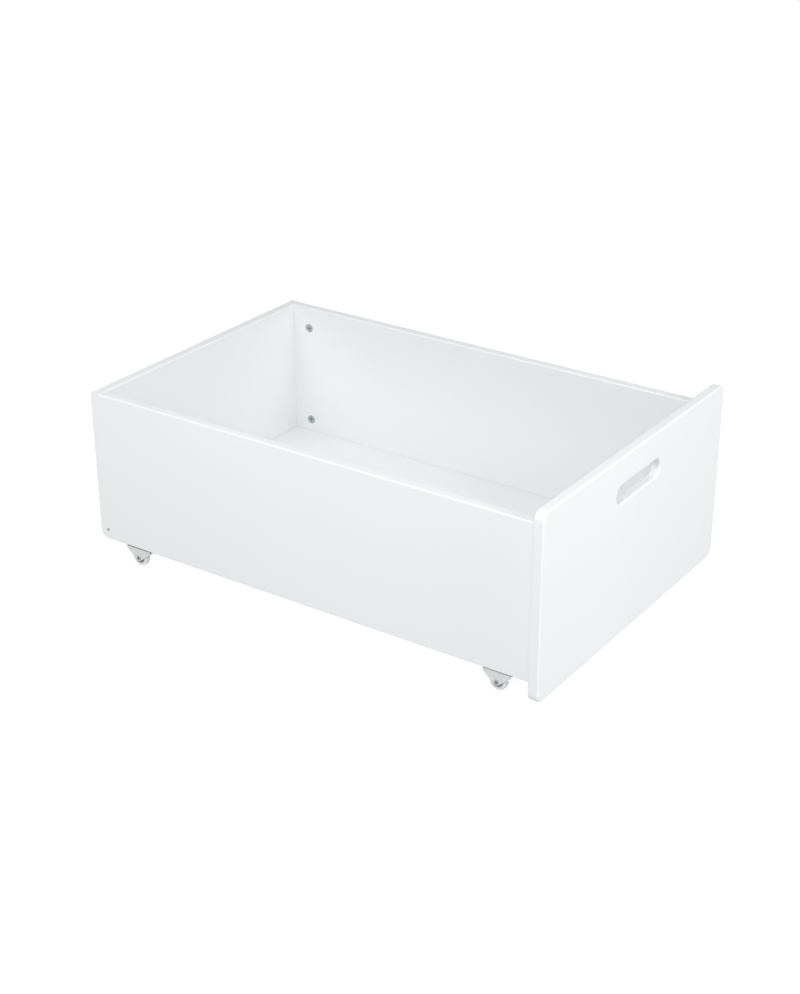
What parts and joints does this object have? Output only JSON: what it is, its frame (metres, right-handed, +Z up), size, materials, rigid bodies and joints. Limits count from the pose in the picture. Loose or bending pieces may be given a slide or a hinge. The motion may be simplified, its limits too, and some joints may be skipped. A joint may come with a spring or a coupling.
{
  "type": "under bed storage box",
  "caption": "Open box on small fixed wheels that rolls under a bed, with a wider front panel that has rounded corners and a hand slot.",
  "frame": {"origin": "on the floor, under the middle of the box", "axes": "+Z up, -Y out of the front panel, +X to the right as seen facing the front"},
  "size_m": [0.578, 0.868, 0.327],
  "materials": {
    "white_lacquered_board": "white satin lacquer on board",
    "white_bottom_board": "smooth white foil on board",
    "cast_zinc": "matte cast zinc",
    "zinc_plated_steel": "bright zinc plating",
    "grey_plastic": "moulded, matte",
    "light_grey_rubber": "matte",
    "beech": "bare turned beech"
  },
  "bodies": {
    "box": {"back_panel": "white_lacquered_board", "bottom_panel": "white_bottom_board", "front_left_axle": "zinc_plated_steel", "front_left_bracket_screws": "zinc_plated_steel", "front_left_cam_bolts": "zinc_plated_steel", "front_left_cam_locks": "cast_zinc", "front_left_dowels": "beech", "front_left_wheel_bracket": "zinc_plated_steel", "front_panel": "white_lacquered_board", "front_right_axle": "zinc_plated_steel", "front_right_bracket_screws": "zinc_plated_steel", "front_right_cam_bolts": "zinc_plated_steel", "front_right_cam_locks": "cast_zinc", "front_right_dowels": "beech", "front_right_wheel_bracket": "zinc_plated_steel", "left_side_panel": "white_lacquered_board", "rear_left_axle": "zinc_plated_steel", "rear_left_bracket_screws": "zinc_plated_steel", "rear_left_cam_bolts": "zinc_plated_steel", "rear_left_cam_locks": "cast_zinc", "rear_left_dowels": "beech", "rear_left_wheel_bracket": "zinc_plated_steel", "rear_right_axle": "zinc_plated_steel", "rear_right_bracket_screws": "zinc_plated_steel", "rear_right_cam_bolts": "zinc_plated_steel", "rear_right_cam_locks": "cast_zinc", "rear_right_dowels": "beech", "rear_right_wheel_bracket": "zinc_plated_steel", "right_side_panel": "white_lacquered_board"},
    "front_left_wheel": {"front_left_wheel_hub": "grey_plastic", "front_left_wheel_tyre": "light_grey_rubber"},
    "front_right_wheel": {"front_right_wheel_hub": "grey_plastic", "front_right_wheel_tyre": "light_grey_rubber"},
    "rear_left_wheel": {"rear_left_wheel_hub": "grey_plastic", "rear_left_wheel_tyre": "light_grey_rubber"},
    "rear_right_wheel": {"rear_right_wheel_hub": "grey_plastic", "rear_right_wheel_tyre": "light_grey_rubber"}
  },
  "joints": [
    {"name": "front_left_wheel_spin", "type": "hinge", "parent": "box", "child": "front_left_wheel", "pos_m": [-0.259, -0.35, 0.015], "axis": [1, 0, 0], "continuous": true},
    {"name": "front_right_wheel_spin", "type": "hinge", "parent": "box", "child": "front_right_wheel", "pos_m": [0.259, -0.35, 0.015], "axis": [1, 0, 0], "continuous": true},
    {"name": "rear_left_wheel_spin", "type": "hinge", "parent": "box", "child": "rear_left_wheel", "pos_m": [-0.259, 0.356, 0.015], "axis": [1, 0, 0], "continuous": true},
    {"name": "rear_right_wheel_spin", "type": "hinge", "parent": "box", "child": "rear_right_wheel", "pos_m": [0.259, 0.356, 0.015], "axis": [1, 0, 0], "continuous": true}
  ]
}
